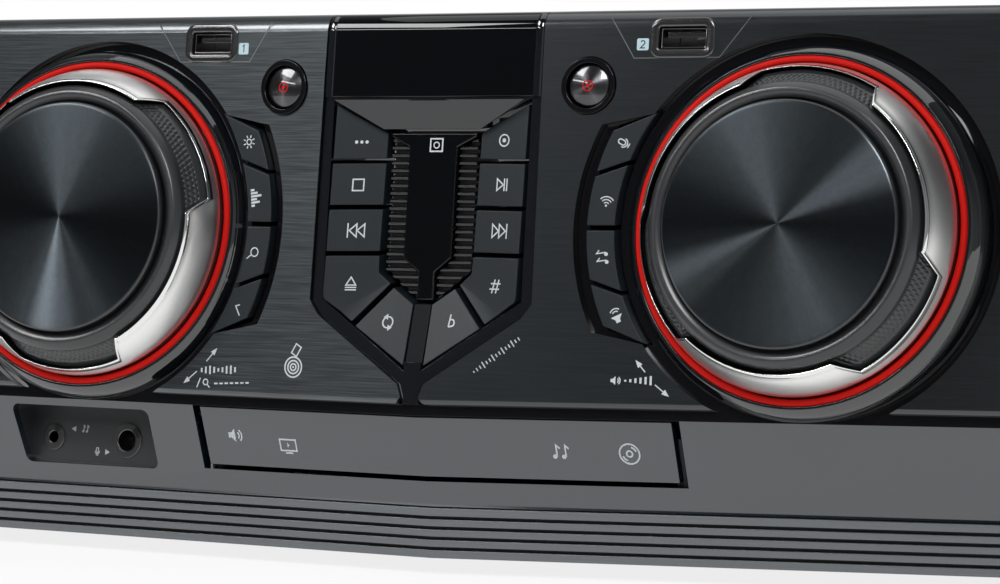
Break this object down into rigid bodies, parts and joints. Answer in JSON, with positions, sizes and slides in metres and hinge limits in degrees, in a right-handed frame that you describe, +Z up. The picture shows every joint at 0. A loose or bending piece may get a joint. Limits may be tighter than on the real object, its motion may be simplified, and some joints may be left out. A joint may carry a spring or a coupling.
{
  "type": "mini hi-fi system main unit",
  "caption": "Mini hi-fi main unit with large rotary knobs, centre keypad, display window and a sliding disc tray.",
  "frame": {"origin": "middle of the footprint, on the surface the feet stand on", "axes": "+X along the width to the viewer's right, +Y from the front to the rear, +Z up"},
  "size_m": [0.45, 0.3499, 0.16],
  "materials": {
    "panel": "hairline brushed, dark grey",
    "piano": "gloss black",
    "keys": "matte dark grey",
    "ribs": "matte black",
    "plinth": "fine matte black",
    "feet": "moulded",
    "plate": "zinc plated sheet",
    "cover": "black powder coat",
    "knob_metal": "satin",
    "knob_black": "knurled",
    "cap": "spun",
    "light": "translucent red",
    "button": "spun dark",
    "tray": "fine matte black",
    "loader": "moulded",
    "gear": "natural",
    "steel": "plated",
    "board": "solder mask",
    "supply": "varnished core and sleeves",
    "sink": "extruded",
    "sockets": "plated shells",
    "rear": "moulded black",
    "screw": "blackened"
  },
  "bodies": {
    "chassis": {"centre_frame": "piano", "chassis_plate": "plate", "circuit_boards": "board", "display_window": "piano", "fan_frame": "rear", "fascia": "piano", "feet": "feet", "front_frame": "piano", "front_sockets": "sockets", "heat_sink": "sink", "jack_panel": "keys", "knob_housing_left": "piano", "knob_housing_right": "piano", "light_rings": "light", "loader_frame": "loader", "loader_motors": "steel", "panel_left": "panel", "panel_right": "panel", "plinth": "plinth", "power_supply": "supply", "rear_panel": "cover", "rear_sockets": "rear", "rib_insert": "ribs", "screws": "screw", "sensor_window": "piano", "top_cover": "cover"},
    "knob_left": {"knob_ring_left": "knob_metal", "knob_grip_left": "knob_black", "knob_cap_left": "cap"},
    "knob_right": {"knob_ring_right": "knob_metal", "knob_grip_right": "knob_black", "knob_cap_right": "cap"},
    "demo_key": {"demo_key": "keys"},
    "stop_key": {"stop_key": "keys"},
    "back_key": {"back_key": "keys"},
    "eject_key": {"eject_key": "keys"},
    "auto_key": {"auto_key": "keys"},
    "function_key": {"function_key": "keys"},
    "play_key": {"play_key": "keys"},
    "forward_key": {"forward_key": "keys"},
    "sharp_key": {"sharp_key": "keys"},
    "flat_key": {"flat_key": "keys"},
    "side_key_left_1": {"side_key_left_1": "keys"},
    "side_key_left_2": {"side_key_left_2": "keys"},
    "side_key_left_3": {"side_key_left_3": "keys"},
    "side_key_left_4": {"side_key_left_4": "keys"},
    "side_key_right_1": {"side_key_right_1": "keys"},
    "side_key_right_2": {"side_key_right_2": "keys"},
    "side_key_right_3": {"side_key_right_3": "keys"},
    "side_key_right_4": {"side_key_right_4": "keys"},
    "round_button_left": {"round_button_left": "button"},
    "round_button_right": {"round_button_right": "button"},
    "tray": {"disc_tray": "tray", "tray_door": "piano"},
    "tray_gear": {"tray_gear": "gear"},
    "turntable": {"turntable": "loader"},
    "disc_clamp": {"disc_clamp": "loader"},
    "pickup_sled": {"pickup_sled": "loader"},
    "sled_screw": {"sled_screw": "steel"},
    "fan_rotor": {"fan_rotor": "rear"}
  },
  "joints": [
    {"name": "knob_left_turn", "type": "hinge", "parent": "chassis", "child": "knob_left", "pos_m": [-0.1125, -0.15316, 0.1], "axis": [0, -0.9848, 0.1736], "continuous": true},
    {"name": "knob_right_turn", "type": "hinge", "parent": "chassis", "child": "knob_right", "pos_m": [0.1125, -0.15316, 0.1], "axis": [0, -0.9848, 0.1736], "continuous": true},
    {"name": "demo_key_press", "type": "slide", "parent": "chassis", "child": "demo_key", "axis": [0, 1, 0], "range_m": [0, 0.001], "stiffness_N_per_m": 400, "springref_m": -0.001},
    {"name": "stop_key_press", "type": "slide", "parent": "chassis", "child": "stop_key", "axis": [0, 1, 0], "range_m": [0, 0.001], "stiffness_N_per_m": 400, "springref_m": -0.001},
    {"name": "back_key_press", "type": "slide", "parent": "chassis", "child": "back_key", "axis": [0, 1, 0], "range_m": [0, 0.001], "stiffness_N_per_m": 400, "springref_m": -0.001},
    {"name": "eject_key_press", "type": "slide", "parent": "chassis", "child": "eject_key", "axis": [0, 1, 0], "range_m": [0, 0.001], "stiffness_N_per_m": 400, "springref_m": -0.001},
    {"name": "auto_key_press", "type": "slide", "parent": "chassis", "child": "auto_key", "axis": [0, 1, 0], "range_m": [0, 0.001], "stiffness_N_per_m": 400, "springref_m": -0.001},
    {"name": "function_key_press", "type": "slide", "parent": "chassis", "child": "function_key", "axis": [0, 1, 0], "range_m": [0, 0.001], "stiffness_N_per_m": 400, "springref_m": -0.001},
    {"name": "play_key_press", "type": "slide", "parent": "chassis", "child": "play_key", "axis": [0, 1, 0], "range_m": [0, 0.001], "stiffness_N_per_m": 400, "springref_m": -0.001},
    {"name": "forward_key_press", "type": "slide", "parent": "chassis", "child": "forward_key", "axis": [0, 1, 0], "range_m": [0, 0.001], "stiffness_N_per_m": 400, "springref_m": -0.001},
    {"name": "sharp_key_press", "type": "slide", "parent": "chassis", "child": "sharp_key", "axis": [0, 1, 0], "range_m": [0, 0.001], "stiffness_N_per_m": 400, "springref_m": -0.001},
    {"name": "flat_key_press", "type": "slide", "parent": "chassis", "child": "flat_key", "axis": [0, 1, 0], "range_m": [0, 0.001], "stiffness_N_per_m": 400, "springref_m": -0.001},
    {"name": "side_key_left_1_press", "type": "slide", "parent": "chassis", "child": "side_key_left_1", "axis": [0, 1, 0], "range_m": [0, 0.001], "stiffness_N_per_m": 400, "springref_m": -0.001},
    {"name": "side_key_left_2_press", "type": "slide", "parent": "chassis", "child": "side_key_left_2", "axis": [0, 1, 0], "range_m": [0, 0.001], "stiffness_N_per_m": 400, "springref_m": -0.001},
    {"name": "side_key_left_3_press", "type": "slide", "parent": "chassis", "child": "side_key_left_3", "axis": [0, 1, 0], "range_m": [0, 0.001], "stiffness_N_per_m": 400, "springref_m": -0.001},
    {"name": "side_key_left_4_press", "type": "slide", "parent": "chassis", "child": "side_key_left_4", "axis": [0, 1, 0], "range_m": [0, 0.001], "stiffness_N_per_m": 400, "springref_m": -0.001},
    {"name": "side_key_right_1_press", "type": "slide", "parent": "chassis", "child": "side_key_right_1", "axis": [0, 1, 0], "range_m": [0, 0.001], "stiffness_N_per_m": 400, "springref_m": -0.001},
    {"name": "side_key_right_2_press", "type": "slide", "parent": "chassis", "child": "side_key_right_2", "axis": [0, 1, 0], "range_m": [0, 0.001], "stiffness_N_per_m": 400, "springref_m": -0.001},
    {"name": "side_key_right_3_press", "type": "slide", "parent": "chassis", "child": "side_key_right_3", "axis": [0, 1, 0], "range_m": [0, 0.001], "stiffness_N_per_m": 400, "springref_m": -0.001},
    {"name": "side_key_right_4_press", "type": "slide", "parent": "chassis", "child": "side_key_right_4", "axis": [0, 1, 0], "range_m": [0, 0.001], "stiffness_N_per_m": 400, "springref_m": -0.001},
    {"name": "round_button_left_press", "type": "slide", "parent": "chassis", "child": "round_button_left", "axis": [0, 1, 0], "range_m": [0, 0.001], "stiffness_N_per_m": 400, "springref_m": -0.001},
    {"name": "round_button_right_press", "type": "slide", "parent": "chassis", "child": "round_button_right", "axis": [0, 1, 0], "range_m": [0, 0.001], "stiffness_N_per_m": 400, "springref_m": -0.001},
    {"name": "tray_slide", "type": "slide", "parent": "chassis", "child": "tray", "axis": [0, -1, 0], "range_m": [0, 0.14]},
    {"name": "tray_gear_spin", "type": "hinge", "parent": "chassis", "child": "tray_gear", "pos_m": [-0.053, -0.12009, 0.029], "axis": [0, 0, 1], "range_deg": [0, 1003]},
    {"name": "turntable_spin", "type": "hinge", "parent": "chassis", "child": "turntable", "pos_m": [0, -0.08209, 0.034], "axis": [0, 0, 1], "continuous": true},
    {"name": "clamp_spin", "type": "hinge", "parent": "chassis", "child": "disc_clamp", "pos_m": [0, -0.08209, 0.041], "axis": [0, 0, 1], "continuous": true},
    {"name": "screw_spin", "type": "hinge", "parent": "chassis", "child": "sled_screw", "pos_m": [-0.022, -0.03709, 0.0255], "axis": [0, 1, 0], "range_deg": [0, 4081]},
    {"name": "sled_slide", "type": "slide", "parent": "chassis", "child": "pickup_sled", "axis": [0, 1, 0], "range_m": [0, 0.034]},
    {"name": "fan_spin", "type": "hinge", "parent": "chassis", "child": "fan_rotor", "pos_m": [-0.15, 0.154, 0.092], "axis": [0, 1, 0], "continuous": true}
  ],
  "couplings": [
    {"joint": "tray_gear_spin", "follows": "tray_slide", "rad_per_m": 125},
    {"joint": "clamp_spin", "follows": "turntable_spin", "ratio": 1},
    {"joint": "screw_spin", "follows": "sled_slide", "rad_per_m": 2094.4}
  ]
}
